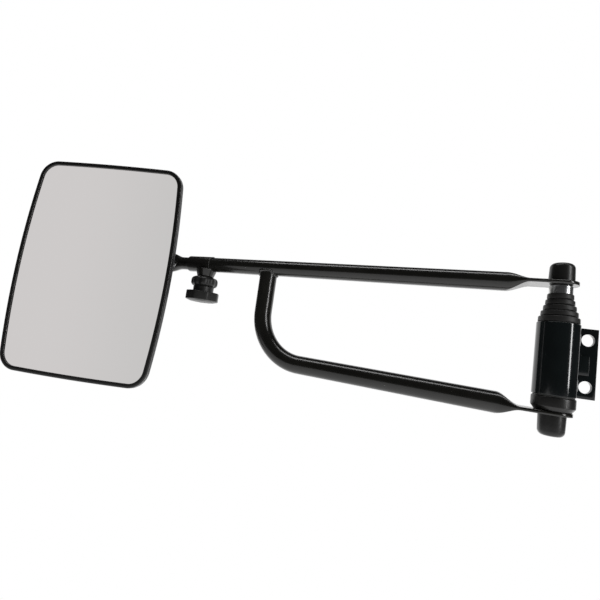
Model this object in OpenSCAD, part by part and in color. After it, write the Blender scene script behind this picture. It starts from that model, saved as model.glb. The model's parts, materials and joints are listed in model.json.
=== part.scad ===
// Telescopic cab mirror on a friction hinge bracket.
// The origin is the middle of the two bolt holes, on the back face of the mounting plate.
// +X runs towards the plate's free edge, +Y into the cab wall, +Z up along the hinge pivot.

/* [Bracket] */
// Outside diameter of the hinge tube
tube_od = 35; // [34:0.5:38]
// Height of the hinge tube and its plate
tube_h = 63; // [60:1:64]
// Thickness of the mounting plate
plate_t = 4; // [3:0.5:5]
// Diameter of the two mounting holes
hole_d = 11; // [9:0.5:12]
// Distance between the two mounting holes
hole_pitch = 42; // [38:1:44]
// Distance from the pivot axis to the mounting holes
hole_offset = 29.5; // [29:0.5:31]
// Distance from the pivot axis to the plate's free edge
plate_reach = 38; // [37:0.5:46]

/* [Arm] */
// Angle that the arm stands back from the plate
arm_angle = 12; // [0:1:30]
// Outside diameter of the upper tube
upper_od = 18; // [17.5:0.5:18.5]
// Outside diameter of the lower tube
lower_od = 20; // [19:0.5:22]
// Distance from the pivot to the branch that joins the tubes
branch_at = 298; // [260:1:330]
// Centre-line radius of the bend in the lower tube
bend_r = 55; // [45:1:60]
// Distance from the pivot to the open end of the upper tube
upper_end = 412; // [408:1:418]
// Distance from the pivot to the clamp knob
clamp_at = 387; // [384:1:391]

/* [Mirror head] */
// Half of the width over the rim
head_a = 96.5; // [90:0.5:100]
// Half of the height over the rim
head_b = 128; // [120:1:134]
// How far each side bows outward
side_bow = 7.8; // [4:0.2:9]
// How far the top and the bottom bow outward
end_bow = 1.7; // [1:0.1:3]
// Corner radius of the rim
corner_r = 22; // [18:1:26]
// Swivel of the head against the arm
head_swivel = 16.5; // [0:0.5:20]
// Lean of the head that brings its lower edge forward
head_lean = 1.6; // [0:0.2:3]
// Distance from the glass face back to the ball joint's centre
glass_to_ball = 62; // [60:1:66]
// Height of the ball joint above the middle of the glass
ball_rise = 31.8; // [0:0.2:40]

/* [Hidden] */
$fn = 64;
eps = 0.01;

// Hinge stack, heights along the pivot
pivot_x = -hole_offset;
pivot_y = -tube_od / 2;
tube_r = tube_od / 2;
tube_wall = 3;
half_h = tube_h / 2;
upper_z = 67;
upper_plate_z = 66;
lower_plate_z = -48;
ear_t = 3;
ear_inner_t = 25;
ear_outer_t = 46;
ear_sink = 1.3;
bolt_r = 5;
bolt_hole_r = 5.1;
sleeve_r = 9.65;
bush_bore_r = 9.7;
flange_top = half_h + 0.6;
flange_low = half_h + 1.1;
collar_r = 17.5;
washer_t = 2;
washer_r = 9.3;
bolt_flats = 16;
boot_base = flange_top + 0.2;
boot_step = 5.1;
boot_radii = [16.6, 14.9, 13.2, 11.8, 10.7];
boot_wall = 1.5;
seat_top = flange_top + 1.6;
spring_top = boot_base + 3 * boot_step - boot_wall - 1.5;
spring_wire = 0.85;
spring_mean = 10.7;
spring_turns = 3.5;
cap_wall = 1.3;
top_cap_r = 10.7;
top_cap_h = 17.3;
bottom_cap_r = 11.2;
bottom_cap_h = 18.6;
cap_edge = 6.5;
upper_flange_r = 15.65;
lower_flange_r = 16.4;
bush_depth = 18;
bolt_head_h = 6.4;
nut_h = 9.5;
bolt_end_z = -62;

// Arm tubes
upper_r = upper_od / 2;
upper_bore = 8;
lower_r = lower_od / 2;
lower_wall = 1.5;
ear_w_upper = PI * upper_r;
ear_w_lower = PI * lower_r;
lower_mid = lower_plate_z + ear_t / 2;
lower_rise = 0.03;
lower_tilt = atan(lower_rise);
bend_lap = 0.3;
bend_swell = 0.02;
bend_x = branch_at - bend_r;
bend_start_x = bend_x + bend_r * sin(lower_tilt);
bend_z = lower_mid + lower_rise * bend_start_x + bend_r * cos(lower_tilt);
weld_leg = 2.2;

// Clamp under the upper tube, heights below the tube's axis
boss_low = 16;
saddle_start = 378;
saddle_t = 0.9;
boss_low_r = 10;
boss_high_r = 13;
stud_bore_r = 4.05;
pad_low = 12;
ring_high = 16.6;
ring_low = 28.5;
ring_r = 16.2;
knob_low = 46;
knob_neck_low = 35;
knob_dome = 2.6;
knob_r = 21.4;
knob_rim_r = 20.8;
knob_neck_r = 12.5;

// Inner tube and ball joint
inner_r = 7.95;
inner_bore = 6.75;
inner_start = 272;
fish_start = 424;
fish_end = fish_start + 20;
fish_t = 3;
fish_w = PI * inner_r;
stud_at = 500;
stud_reach = 28;
stud_r = 4;
ball_r = 11;
seat_r = 13.5;

// Housing depths, measured forward from the ball's centre
glass_face = glass_to_ball;
rim_front = glass_face + 1.5;
wall_front = glass_face - 2;
ledge = glass_face - 6;
dome_start = glass_face - 5;
back_face = 12;
shell_wall = 2.5;
socket_r = 24;
ring_t = 9;
screw_circle = 19;
// Each row is a depth and the share of the rim's width and height that the dome has there
dome = [[dome_start, 1, 1], [glass_face - 18, 0.93, 0.945], [glass_face - 34, 0.78, 0.83],
    [back_face + 4, 0.64, 0.72], [back_face, 0.55, 0.65]];

// The rim is four bowed edges joined by corner arcs; inset e gives a true parallel outline
side_r = (head_b * head_b + side_bow * side_bow) / (2 * side_bow);
end_r = (head_a * head_a + end_bow * end_bow) / (2 * end_bow);
side_c = side_r - head_a;
end_c = end_r - head_b;
centre_gap = norm([side_c, end_c]);
foot = (pow(side_r - corner_r, 2) - pow(end_r - corner_r, 2) + pow(centre_gap, 2)) / (2 * centre_gap);
lift = sqrt(pow(side_r - corner_r, 2) - foot * foot);
corner_x = -side_c + (foot * side_c + lift * end_c) / centre_gap;
corner_z = (lift * side_c - foot * end_c) / centre_gap;
side_a = atan2(corner_z, corner_x + side_c);
end_a = atan2(corner_z + end_c, corner_x);
edge_n = 6;
corner_n = 8;

function arc(c, r, a0, a1, n) =
    [for (i = [0:n - 1]) let (a = a0 + (a1 - a0) * i / n) [c[0] + r * cos(a), c[1] + r * sin(a)]];
function half_rim(e) = concat(
    arc([-side_c, 0], side_r - e, -side_a, side_a, 2 * edge_n),
    arc([corner_x, corner_z], corner_r - e, side_a, end_a, corner_n),
    arc([0, -end_c], end_r - e, end_a, 180 - end_a, 2 * edge_n),
    arc([-corner_x, corner_z], corner_r - e, 180 - end_a, 180 - side_a, corner_n));
function rim(e) = concat(half_rim(e), [for (p = half_rim(e)) -p]);

module at_pivot() {
    translate([pivot_x, pivot_y, 0]) children();
}

// X runs out along the arm, +Y is the side that the glass faces
module arm_frame() {
    at_pivot() rotate([0, 0, 180 - arm_angle]) children();
}

module tube_frame() {
    arm_frame() translate([0, 0, upper_z]) children();
}

// Origin at the ball's centre, +Y through the glass
module head_frame() {
    tube_frame() translate([stud_at, stud_reach, 0]) rotate([0, 0, head_swivel])
        rotate([head_lean, 0, 0]) children();
}

module along_x(r, x0, x1) {
    translate([x0, 0, 0]) rotate([0, 90, 0]) cylinder(r = r, h = x1 - x0);
}

module along_y(r, y0, y1) {
    translate([0, y0, 0]) rotate([-90, 0, 0]) cylinder(r = r, h = y1 - y0);
}

module ring(r_out, r_in, z0, z1) {
    translate([0, 0, z0]) difference() {
        cylinder(r = r_out, h = z1 - z0);
        translate([0, 0, -1]) cylinder(r = r_in, h = z1 - z0 + 2);
    }
}

// Outline of the head, extruded between two depths
module rim_slab(e, y0, y1) {
    translate([0, y1, -ball_rise]) rotate([90, 0, 0]) linear_extrude(y1 - y0) polygon(rim(e));
}

// ---- Bracket ----

module bracket_tube() {
    color("#1a1a1c") at_pivot() ring(tube_r, tube_r - tube_wall, -half_h, half_h);
}

module pad_block() {
    translate([15, tube_r - plate_t - 2.2, -10.7]) cube([16, 2.2, 17.3]);
}

module mounting_plate() {
    color("#1a1a1c") difference() {
        at_pivot() translate([5, tube_r - plate_t, -half_h]) cube([plate_reach - 5, plate_t, tube_h]);
        at_pivot() translate([0, 0, -half_h - 1]) cylinder(r = tube_r, h = tube_h + 2);
        for (side = [-1, 1])
            translate([0, 0, side * hole_pitch / 2]) along_y(hole_d / 2, -plate_t - 1, 1);
    }
}

module plate_pad() {
    color("#1a1a1c") at_pivot() difference() {
        pad_block();
        translate([0, 0, -half_h]) cylinder(r = tube_r, h = tube_h);
    }
}

// Dressed weld that runs the tube into the plate with a hollow radius
module plate_weld() {
    r = 6;
    face = tube_r - plate_t;
    cy = face - r;
    cx = sqrt(pow(tube_r + r, 2) - cy * cy);
    touch = tube_r / (tube_r + r);
    color("#1a1a1c") at_pivot() difference() {
        translate([0, 0, -half_h]) linear_extrude(tube_h) difference() {
            polygon([[cx * touch, cy * touch], [cx, face], [8, face]]);
            circle(r = tube_r);
            translate([cx, cy]) circle(r = r);
        }
        pad_block();
    }
}

module upper_bush() {
    color("#d8d6cc") at_pivot() union() {
        ring(upper_flange_r, bush_bore_r, half_h, flange_top);
        ring(tube_r - tube_wall, bush_bore_r, half_h - bush_depth, half_h);
    }
}

module lower_bush() {
    color("#d8d6cc") at_pivot() union() {
        ring(lower_flange_r, bush_bore_r, -flange_low, -half_h);
        ring(tube_r - tube_wall, bush_bore_r, -half_h, -half_h + bush_depth);
    }
}

// ---- Arm ----

// Elliptic slice across the arm
module slice(x, ry, rz) {
    translate([x, 0, 0]) rotate([90, 0, 90]) linear_extrude(0.2) scale([ry, rz]) circle(r = 1, $fn = 32);
}

// Tube end pressed into a flat ear, drawn about the pivot
module pressed_ear(r, w, dz) {
    half_w = w / 2;
    steps = [[ear_outer_t + ear_sink, r - 0.36, r - 0.26, dz], [38, r * 1.16, r * 0.8, dz * 0.7],
        [31, r * 1.38, r * 0.42, dz * 0.3], [ear_inner_t, half_w, ear_t / 2, 0]];
    for (i = [0:2]) hull() {
        for (s = [steps[i], steps[i + 1]]) translate([0, 0, s[3]]) slice(s[0] - 0.1, s[1], s[2]);
    }
    translate([0, 0, -ear_t / 2]) cylinder(r = half_w, h = ear_t);
    translate([0, -half_w, -ear_t / 2]) cube([ear_inner_t, w, ear_t]);
}

module upper_tube() {
    ear_dz = upper_plate_z + ear_t / 2 - upper_z;
    color("#17171a") arm_frame() difference() {
        union() {
            translate([0, 0, upper_z + ear_dz]) pressed_ear(upper_r, ear_w_upper, -ear_dz);
            translate([0, 0, upper_z]) along_x(upper_r, ear_outer_t, upper_end);
        }
        translate([0, 0, upper_z]) along_x(upper_bore, ear_outer_t + 2, upper_end + 1);
        translate([0, 0, upper_plate_z - 5]) cylinder(r = bolt_hole_r, h = ear_t + 10);
        translate([clamp_at, 0, upper_z - pad_low]) cylinder(r = stud_bore_r, h = pad_low);
    }
}

// The lower tube's path at any radius; the bend is a hair fuller so that both straights sink into it
module lower_path(r, start) {
    run = (bend_start_x - start) / cos(lower_tilt);
    translate([start, 0, lower_mid + lower_rise * start])
        rotate([0, 90 - lower_tilt, 0]) cylinder(r = r, h = run + bend_lap);
    translate([bend_x, 0, bend_z]) rotate([90, 0, 0]) rotate([0, 0, -90 + lower_tilt])
        rotate_extrude(angle = 90 - lower_tilt) translate([bend_r, 0]) circle(r = r + bend_swell);
    translate([branch_at, 0, bend_z - bend_lap]) cylinder(r = r, h = upper_z - 4 - bend_z + bend_lap);
}

module lower_tube() {
    color("#17171a") arm_frame() difference() {
        union() {
            translate([0, 0, lower_mid]) pressed_ear(lower_r, ear_w_lower, lower_rise * ear_outer_t);
            lower_path(lower_r, ear_outer_t);
        }
        lower_path(lower_r - lower_wall, ear_outer_t + 2);
        translate([0, 0, upper_z]) along_x(upper_r, ear_outer_t, upper_end);
        translate([0, 0, lower_plate_z - 5]) cylinder(r = bolt_hole_r, h = ear_t + 10);
    }
}

// Bead that follows the saddle where the two tubes meet
module branch_weld() {
    color("#17171a") arm_frame() difference() {
        intersection() {
            translate([branch_at, 0, upper_z - 18]) cylinder(r = lower_r + weld_leg, h = 14);
            translate([0, 0, upper_z]) along_x(upper_r + weld_leg, branch_at - 20, branch_at + 20);
        }
        translate([branch_at, 0, upper_z - 20]) cylinder(r = lower_r, h = 20);
        translate([0, 0, upper_z]) along_x(upper_r, branch_at - 30, branch_at + 30);
    }
}

module hex_prism(flats, z0, z1) {
    translate([0, 0, z0]) cylinder(d = flats / cos(30), h = z1 - z0, $fn = 6);
}

module pivot_bolt() {
    head_z = upper_plate_z + ear_t + washer_t;
    color("#b9bcc0") at_pivot() union() {
        translate([0, 0, bolt_end_z]) cylinder(r = bolt_r, h = head_z - bolt_end_z);
        intersection() {
            hex_prism(bolt_flats, head_z, head_z + bolt_head_h);
            translate([0, 0, head_z]) cylinder(r1 = bolt_flats, r2 = bolt_flats / 2 + 0.2, h = bolt_head_h);
        }
    }
}

module pivot_nut() {
    color("#b9bcc0") at_pivot() difference() {
        hex_prism(bolt_flats, lower_plate_z - washer_t - nut_h, lower_plate_z - washer_t);
        translate([0, 0, -70]) cylinder(r = bolt_r, h = 30);
    }
}

module pivot_washers() {
    color("#b9bcc0") at_pivot() {
        ring(washer_r, bolt_hole_r, upper_plate_z + ear_t, upper_plate_z + ear_t + washer_t);
        ring(washer_r, bolt_hole_r, lower_plate_z - washer_t, lower_plate_z);
    }
}

module spacer_sleeve() {
    color("#c9ccd0") at_pivot() ring(sleeve_r, bolt_hole_r, -flange_low, upper_plate_z - 1);
}

module sleeve_washer() {
    color("#2a2a2c") at_pivot() ring(8.75, bolt_hole_r, upper_plate_z - 1, upper_plate_z);
}

// Round wire wound on a helix, with one ring of corners at each station
module pivot_spring() {
    sides = 8;
    stations = 76;
    z0 = seat_top + spring_wire;
    z1 = spring_top - spring_wire;
    pts = [for (i = [0:stations]) let (a = 360 * spring_turns * i / stations)
        for (k = [0:sides - 1]) let (b = 360 * k / sides, r = spring_mean + spring_wire * cos(b))
            [r * cos(a), r * sin(a), z0 + (z1 - z0) * i / stations + spring_wire * sin(b)]];
    skin = [for (i = [0:stations - 1]) for (k = [0:sides - 1])
        [i * sides + k, i * sides + (k + 1) % sides, (i + 1) * sides + (k + 1) % sides, (i + 1) * sides + k]];
    first = [for (k = [0:sides - 1]) sides - 1 - k];
    last = [for (k = [0:sides - 1]) stations * sides + k];
    color("#8d9096") at_pivot() polyhedron(pts, concat(skin, [first, last]));
}

module spring_seat() {
    color("#9a9da1") at_pivot() ring(13, sleeve_r, flange_top, seat_top);
}

module spring_collar() {
    color("#9a9da1") at_pivot() ring(11.5, sleeve_r, spring_top, spring_top + 1.4);
}

// Stepped gaiter over the spring
module rubber_boot() {
    last = len(boot_radii) - 1;
    lip = 0.8;
    outer = [for (i = [0:last]) let (r = boot_radii[i], z = boot_base + boot_step * i)
        each [[r, z + (i == 0 ? 0 : lip)], [r, z + boot_step - lip], [r - lip, z + boot_step]]];
    inner = [for (i = [last:-1:0]) let (r = i == last ? sleeve_r : boot_radii[i] - boot_wall)
        let (z = boot_base + boot_step * i)
        each [[r, z + boot_step - (i == last ? 0 : boot_wall)], [r, z - (i == 0 ? 0 : boot_wall)]]];
    color("#2b2b2d") at_pivot() rotate_extrude() polygon(concat(outer, inner));
}

module wear_collar() {
    top = -flange_low;
    low = lower_plate_z + ear_t;
    color("#232325") at_pivot() rotate_extrude() polygon([[bolt_hole_r, low],
        [collar_r - 3, low], [collar_r, low + 4], [collar_r, top - 1], [collar_r - 1, top], [bolt_hole_r, top]]);
}

// Thimble-shaped cap, open end at z = 0
module cap_shell(r, h, edge) {
    outer = concat([[r, 0]], arc([r - edge, h - edge], edge, 0, 90, 8), [[0, h]]);
    inner = concat([[0, h - cap_wall]],
        [for (i = [0:8]) let (a = 90 - 90 * i / 8, c = edge - cap_wall)
            [r - edge + c * cos(a), h - edge + c * sin(a)]],
        [[r - cap_wall, 0]]);
    rotate_extrude() polygon(concat(outer, inner));
}

module top_cap() {
    color("#29292b") at_pivot() translate([0, 0, upper_plate_z + ear_t])
        cap_shell(top_cap_r, top_cap_h, cap_edge);
}

module bottom_cap() {
    color("#29292b") at_pivot() translate([0, 0, lower_plate_z]) mirror([0, 0, 1])
        cap_shell(bottom_cap_r, bottom_cap_h, cap_edge);
}

// ---- Clamp ----

module clamp_boss() {
    color("#17171a") tube_frame() difference() {
        union() {
            along_x(upper_r + saddle_t, saddle_start, upper_end);
            translate([clamp_at, 0, -boss_low])
                cylinder(r1 = boss_low_r, r2 = boss_high_r, h = boss_low - 6);
        }
        along_x(upper_r, clamp_at - 20, upper_end + 1);
        translate([clamp_at, 0, -boss_low - 1]) cylinder(r = stud_bore_r, h = boss_low);
    }
}

module pressure_pad() {
    color("#c9a45a") tube_frame() translate([clamp_at, 0, -pad_low])
        cylinder(r = stud_bore_r - 0.08, h = pad_low - inner_r - 0.02);
}

module clamp_stud() {
    color("#9a9da1") tube_frame() translate([clamp_at, 0, 0]) union() {
        translate([0, 0, -knob_low + 2]) cylinder(r = stud_bore_r - 0.07, h = knob_low - 2 - pad_low);
        hex_prism(13, -knob_low + 2, -knob_low + 7);
    }
}

module stud_hole() {
    translate([0, 0, -knob_low + 1]) cylinder(r = stud_bore_r - 0.07, h = knob_low);
    hex_prism(13, -knob_low + 2, -knob_low + 7);
}

// Rounded grip ring with shallow finger flutes
module lock_ring() {
    mid = (ring_high + ring_low) / 2;
    edge = 4.5;
    half = (ring_low - ring_high) / 2;
    color("#252527") tube_frame() translate([clamp_at, 0, 0]) difference() {
        translate([0, 0, -mid]) rotate_extrude() polygon(concat([[0, -half]],
            arc([ring_r - edge, -half + edge], edge, -90, 0, 8),
            arc([ring_r - edge, half - edge], edge, 0, 90, 8), [[ring_r - edge, half], [0, half]]));
        stud_hole();
        for (i = [0:7]) rotate([0, 0, 45 * i + 10]) translate([ring_r + 3, 0, -ring_low - 1])
            cylinder(r = 4.2, h = 14);
    }
}

module clamp_knob() {
    color("#252527") tube_frame() translate([clamp_at, 0, 0]) difference() {
        union() {
            translate([0, 0, -knob_neck_low - 1])
                cylinder(r = knob_neck_r, h = knob_neck_low + 1 - ring_low);
            intersection() {
                translate([0, 0, -knob_low - knob_dome]) rotate([0, 0, 8])
                    cylinder(r = knob_r, h = knob_low + knob_dome - knob_neck_low, $fn = 8);
                translate([0, 0, -knob_low - knob_dome]) cylinder(r = knob_rim_r, h = 20);
                translate([0, 0, -knob_low - knob_dome + 90]) sphere(r = 90, $fn = 96);
            }
        }
        stud_hole();
    }
}

// ---- Sliding tube and ball joint ----

module inner_tube() {
    steps = [[fish_start, inner_r, inner_r], [fish_start + 7, 6.4, 9],
        [fish_start + 14, 3.4, 11], [fish_end, fish_t / 2, fish_w / 2]];
    color("#1c1c1f") tube_frame() difference() {
        union() {
            along_x(inner_r, inner_start, fish_start);
            for (i = [0:2]) hull() {
                for (s = [steps[i], steps[i + 1]]) slice(s[0] - 0.1, s[1], s[2]);
            }
            translate([fish_end, -fish_t / 2, -fish_w / 2]) cube([stud_at - fish_end, fish_t, fish_w]);
            translate([stud_at, 0, 0]) along_y(fish_w / 2, -fish_t / 2, fish_t / 2);
        }
        along_x(inner_bore, inner_start - 1, fish_start - 2);
        translate([stud_at, 0, 0]) along_y(stud_r, -fish_t, fish_t);
    }
}

module inner_plug() {
    color("#2a2a2c") tube_frame() union() {
        along_x(inner_r - 0.05, inner_start - 3, inner_start);
        along_x(inner_bore, inner_start, inner_start + 9);
    }
}

module hex_along_y(flats, y0, y1) {
    translate([0, y0, 0]) rotate([-90, 0, 0]) hex_prism(flats, 0, y1 - y0);
}

module ball_stud() {
    color("#b9bcc0") tube_frame() translate([stud_at, 0, 0]) union() {
        along_y(stud_r, -14, fish_t / 2);
        hex_along_y(13, fish_t / 2, 8);
        along_y(3.5, 8, stud_reach);
        translate([0, stud_reach, 0]) sphere(r = ball_r);
    }
}

module stud_nut() {
    color("#b9bcc0") tube_frame() translate([stud_at, 0, 0]) difference() {
        hex_along_y(13, -11.9, -5.1);
        along_y(stud_r, -13, -4);
    }
}

module stud_washers() {
    color("#b9bcc0") tube_frame() translate([stud_at, 0, 0]) {
        difference() {
            along_y(8, -3.1, -fish_t / 2);
            along_y(stud_r, -4, 0);
        }
        difference() {
            along_y(6.8, -5.1, -3.1);
            along_y(stud_r, -6, -2);
        }
    }
}

module ball_seat() {
    color("#e6e3d8") head_frame() rotate([-90, 0, 0]) rotate_extrude() intersection() {
        difference() {
            circle(r = seat_r);
            circle(r = ball_r + 0.05);
        }
        translate([0, -6]) square([seat_r + 1, 14]);
    }
}

// ---- Mirror head ----

// One thin section of the dome
module dome_slice(y, sx, sz) {
    translate([0, y, -ball_rise]) rotate([90, 0, 0]) linear_extrude(eps) scale([sx, sz]) polygon(rim(0));
}

module housing() {
    inset = shell_wall * 2;
    color("#242426") head_frame() difference() {
        union() {
            rim_slab(0, dome_start - eps, wall_front);
            hull() {
                for (s = dome) dome_slice(s[0], s[1], s[2]);
            }
            along_y(socket_r, 0, back_face + 2);
        }
        rim_slab(shell_wall, ledge, wall_front + 1);
        difference() {
            hull() {
                rim_slab(inset, ledge - 2, ledge + eps);
                for (i = [1:3]) let (s = dome[i])
                    dome_slice(s[0] + 1, s[1] - inset / head_a, s[2] - inset / head_b);
                dome_slice(back_face + shell_wall, dome[4][1], dome[4][2]);
            }
            along_y(18, back_face - 1, 19);
        }
        sphere(r = seat_r + 0.05);
        for (i = [0:3]) rotate([0, 45 + 90 * i, 0]) translate([screw_circle, 0, 0]) along_y(1.95, -1, 10);
    }
}

// Rear half of the ball socket
module socket_ring() {
    color("#242426") head_frame() difference() {
        along_y(socket_r, -ring_t, 0);
        sphere(r = seat_r + 0.05);
        translate([0, -ring_t - 1, 0]) rotate([-90, 0, 0]) cylinder(r1 = 13.6, r2 = 10.6, h = 2.4);
        for (i = [0:3]) rotate([0, 45 + 90 * i, 0]) translate([screw_circle, 0, 0]) {
            along_y(2.1, -ring_t - 1, 1);
            translate([0, -ring_t, 0]) rotate([-90, 0, 0]) cylinder(r1 = 4.1, r2 = 2.1, h = 2);
        }
    }
}

module socket_screws() {
    color("#9a9da1") head_frame() for (i = [0:3]) rotate([0, 45 + 90 * i, 0])
        translate([screw_circle, 0, 0]) union() {
            along_y(1.95, -ring_t + 1, 9.5);
            translate([0, -ring_t, 0]) rotate([-90, 0, 0]) cylinder(r1 = 4, r2 = 1.95, h = 2.05);
        }
}

module glass_carrier() {
    color("#303032") head_frame() rim_slab(shell_wall + 0.4, ledge, ledge + 2);
}

module glass_pad() {
    color("#3a3a3c") head_frame() rim_slab(6, ledge + 2, glass_face - 3);
}

module mirror_glass() {
    color("#c9c5c2") head_frame() rim_slab(3.3, glass_face - 3, glass_face);
}

// Rubber bead that wraps the front edge and laps over the glass
module rim_seal() {
    color("#202022") head_frame() difference() {
        rim_slab(0, wall_front, rim_front);
        rim_slab(3.2, wall_front - 1, glass_face);
        rim_slab(5, glass_face - 1, rim_front + 1);
    }
}

bracket_tube();
mounting_plate();
plate_pad();
plate_weld();
upper_bush();
lower_bush();
upper_tube();
lower_tube();
branch_weld();
pivot_bolt();
pivot_nut();
pivot_washers();
spacer_sleeve();
sleeve_washer();
pivot_spring();
spring_seat();
spring_collar();
rubber_boot();
wear_collar();
top_cap();
bottom_cap();
clamp_boss();
pressure_pad();
clamp_stud();
lock_ring();
clamp_knob();
inner_tube();
inner_plug();
ball_stud();
stud_nut();
stud_washers();
ball_seat();
housing();
socket_ring();
socket_screws();
glass_carrier();
glass_pad();
mirror_glass();
rim_seal();
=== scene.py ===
"""Telescopic cab mirror on a friction hinge bracket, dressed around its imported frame."""

import json
import logging
import math
from dataclasses import dataclass
from enum import Enum
from typing import Callable, Mapping, Sequence, Union

import bmesh
import bpy
from mathutils import Matrix, Vector

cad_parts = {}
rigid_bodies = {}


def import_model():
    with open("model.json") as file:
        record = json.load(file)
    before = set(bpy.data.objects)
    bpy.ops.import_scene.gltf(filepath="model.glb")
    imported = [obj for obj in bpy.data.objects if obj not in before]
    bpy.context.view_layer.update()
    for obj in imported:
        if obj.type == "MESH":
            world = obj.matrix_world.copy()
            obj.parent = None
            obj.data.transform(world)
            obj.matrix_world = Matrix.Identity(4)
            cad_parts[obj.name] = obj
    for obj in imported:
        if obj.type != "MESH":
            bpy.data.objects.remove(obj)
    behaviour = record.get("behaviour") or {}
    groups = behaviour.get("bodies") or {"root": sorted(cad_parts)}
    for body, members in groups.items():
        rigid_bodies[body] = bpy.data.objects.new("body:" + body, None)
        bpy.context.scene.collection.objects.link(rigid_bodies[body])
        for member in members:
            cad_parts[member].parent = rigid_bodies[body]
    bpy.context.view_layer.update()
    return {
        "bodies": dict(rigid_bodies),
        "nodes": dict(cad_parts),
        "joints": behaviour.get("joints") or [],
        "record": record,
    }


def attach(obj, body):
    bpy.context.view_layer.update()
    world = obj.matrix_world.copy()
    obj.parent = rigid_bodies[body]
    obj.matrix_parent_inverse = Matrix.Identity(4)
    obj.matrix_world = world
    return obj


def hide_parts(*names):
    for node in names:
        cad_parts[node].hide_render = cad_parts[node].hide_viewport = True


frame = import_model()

LOG = logging.getLogger("cab_mirror")
MM = 0.001
FULL = 2 * math.pi
QUARTER = math.pi / 2
UP = Vector((0, 0, 1))
HEAD_LEAN = math.radians(1.6)
BOLT_R = 5.1
THREAD_PITCH = 1.25
GLASS_PIECE = "glass_plate"
RGB = tuple[float, float, float]
WHITE: RGB = (1.0, 1.0, 1.0)
Point2 = tuple[float, float]
Ring = Callable[[float], Sequence[float]]


# ---- Frames ----


def upright_frame(origin: Vector, along: Vector) -> Matrix:
    """Builds a frame whose X runs along a level direction and whose Z is up.

    Args:
        origin: where the frame stands, in millimetres.
        along: the direction of its X axis.

    Returns:
        The frame's matrix.
    """
    x_axis = along.normalized()
    y_axis = UP.cross(x_axis)
    return Matrix.Translation(origin) @ Matrix((x_axis, y_axis, UP)).transposed().to_4x4()


class Frames:
    """The object's own frames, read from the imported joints, in millimetres."""

    def __init__(self, joints: Sequence[Mapping]) -> None:
        """Reads the hinge, the arm, the clamp and the ball joint from the joints."""
        found = {joint["name"]: joint for joint in joints}
        pivot = Vector(found["arm_swing"]["pos_m"]) / MM
        clamp = Vector(found["clamp_turn"]["pos_m"]) / MM
        ball = Vector(found["head_tilt"]["pos_m"]) / MM
        arm = Vector(found["telescope"]["axis"])
        across = -Vector(found["head_tilt"]["axis"])
        self.pivot = Matrix.Translation(pivot)
        self.arm = upright_frame(pivot, arm)
        self.tube = upright_frame(pivot + UP * ball.z, arm)
        self.clamp = upright_frame(clamp, arm)
        self.head = upright_frame(ball, across) @ Matrix.Rotation(HEAD_LEAN, 4, "X")
        self.axis_height = ball.z
        self.clamp_at = (clamp - pivot).dot(arm)


# ---- Shader nodes ----


class Signal:
    """A value on its way through a material; Python operators add its Math nodes."""

    def __init__(self, sheet: "Sheet", socket: bpy.types.NodeSocket) -> None:
        """Wraps one output socket of a node."""
        self.sheet = sheet
        self.socket = socket

    def _math(self, operation: str, first: "Value", second: "Value") -> "Signal":
        """Adds one Math node and returns its result."""
        made = self.sheet.node("ShaderNodeMath", {"operation": operation}, {0: first, 1: second})
        return Signal(self.sheet, made.outputs[0])

    def __add__(self, other: "Value") -> "Signal":
        """Adds a number or another signal."""
        return self._math("ADD", self, other)

    def __radd__(self, other: "Value") -> "Signal":
        """Adds this signal to a number."""
        return self._math("ADD", other, self)

    def __sub__(self, other: "Value") -> "Signal":
        """Takes a number or another signal away."""
        return self._math("SUBTRACT", self, other)

    def __rsub__(self, other: "Value") -> "Signal":
        """Takes this signal away from a number."""
        return self._math("SUBTRACT", other, self)

    def __mul__(self, other: "Value") -> "Signal":
        """Multiplies by a number or another signal."""
        return self._math("MULTIPLY", self, other)

    def __rmul__(self, other: "Value") -> "Signal":
        """Multiplies a number by this signal."""
        return self._math("MULTIPLY", other, self)

    def gate(self, low: float, high: float) -> "Signal":
        """Turns the span from low to high into a smooth 0 to 1."""
        made = self.sheet.node(
            "ShaderNodeMapRange",
            {"interpolation_type": "SMOOTHSTEP"},
            {"Value": self, "From Min": low, "From Max": high},
        )
        return Signal(self.sheet, made.outputs[0])


Value = Union[Signal, float, Sequence[float]]


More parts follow.
